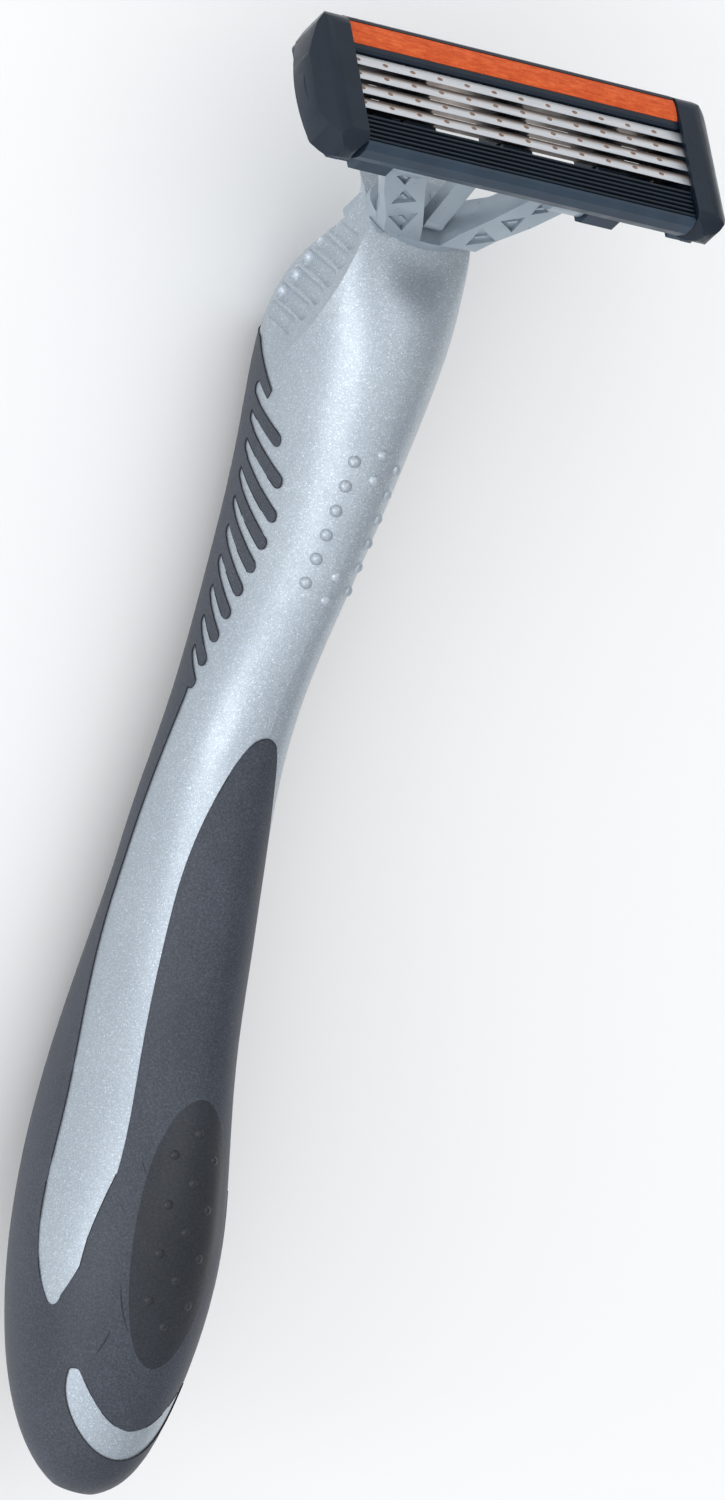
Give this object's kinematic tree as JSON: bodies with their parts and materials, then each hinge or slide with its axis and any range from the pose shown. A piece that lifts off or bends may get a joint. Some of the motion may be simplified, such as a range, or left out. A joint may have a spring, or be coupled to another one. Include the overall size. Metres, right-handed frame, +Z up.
{
  "type": "cartridge_razor",
  "caption": "Silver and black wet-shaving razor lying on its back: rubber grip with oval thumb pad, forked neck and a pivoting blade cartridge with an orange strip.",
  "frame": {"origin": "under the middle of the bounding box, on the surface that the razor's back rests on", "axes": "+Y along the handle from tail to head, +Z up out of the surface (thumb side up), +X along the blades"},
  "size_m": [0.0416, 0.1288, 0.0305],
  "materials": {
    "silver_shell": "metal-flake lacquer, fine sparkle",
    "grip_rubber": "fine grain, dull",
    "pad_rubber": "smoother and darker than the grip",
    "neck_plastic": "satin grey-blue, no flake",
    "housing_plastic": "fine-textured dark navy",
    "fin_rubber": "soft, dull",
    "cover_plastic": "satin dark navy",
    "strip_polymer": "grainy, slightly waxy",
    "blade_steel": "bright coated edge, fine grinding",
    "carrier_steel": "stamped, brownish heat tint",
    "spring_plastic": "moulded with the housing"
  },
  "bodies": {
    "handle": {"handle_core": "silver_shell", "rubber_grip": "grip_rubber", "thumb_pad": "pad_rubber", "neck_fork": "neck_plastic"},
    "tongue": {"return_tongue": "neck_plastic"},
    "cartridge": {"cartridge_housing": "housing_plastic", "guard_fins": "fin_rubber", "cartridge_cover": "cover_plastic", "lubricating_strip": "strip_polymer", "blade_spring_left_1": "spring_plastic", "blade_spring_left_2": "spring_plastic", "blade_spring_left_3": "spring_plastic", "blade_spring_left_4": "spring_plastic", "blade_spring_right_1": "spring_plastic", "blade_spring_right_2": "spring_plastic", "blade_spring_right_3": "spring_plastic", "blade_spring_right_4": "spring_plastic"},
    "blade_1_unit": {"blade_1": "blade_steel", "blade_carrier_1": "carrier_steel"},
    "blade_2_unit": {"blade_2": "blade_steel", "blade_carrier_2": "carrier_steel"},
    "blade_3_unit": {"blade_3": "blade_steel", "blade_carrier_3": "carrier_steel"},
    "blade_4_unit": {"blade_4": "blade_steel", "blade_carrier_4": "carrier_steel"}
  },
  "joints": [
    {"name": "cartridge_pivot", "type": "hinge", "parent": "handle", "child": "cartridge", "pos_m": [0, 0.05395, 0.02298], "axis": [-1, 0, 0], "range_deg": [0, 40], "stiffness_Nm_per_rad": 0.008, "springref_deg": -22.92},
    {"name": "tongue_flex", "type": "hinge", "parent": "handle", "child": "tongue", "pos_m": [0, 0.04875, 0.01686], "axis": [1, 0, 0], "range_deg": [0, 20]},
    {"name": "blade_1_float", "type": "slide", "parent": "cartridge", "child": "blade_1_unit", "axis": [0, -0.7071, -0.7071], "range_m": [0, 0.0005], "stiffness_N_per_m": 300, "springref_m": -0.0002, "deforming": ["blade_spring_left_1", "blade_spring_right_1"]},
    {"name": "blade_2_float", "type": "slide", "parent": "cartridge", "child": "blade_2_unit", "axis": [0, -0.7071, -0.7071], "range_m": [0, 0.0005], "stiffness_N_per_m": 300, "springref_m": -0.0002, "deforming": ["blade_spring_left_2", "blade_spring_right_2"]},
    {"name": "blade_3_float", "type": "slide", "parent": "cartridge", "child": "blade_3_unit", "axis": [0, -0.7071, -0.7071], "range_m": [0, 0.0005], "stiffness_N_per_m": 300, "springref_m": -0.0002, "deforming": ["blade_spring_left_3", "blade_spring_right_3"]},
    {"name": "blade_4_float", "type": "slide", "parent": "cartridge", "child": "blade_4_unit", "axis": [0, -0.7071, -0.7071], "range_m": [0, 0.0005], "stiffness_N_per_m": 300, "springref_m": -0.0002, "deforming": ["blade_spring_left_4", "blade_spring_right_4"]}
  ],
  "couplings": [
    {"joint": "tongue_flex", "follows": "cartridge_pivot", "ratio": 0.5}
  ]
}
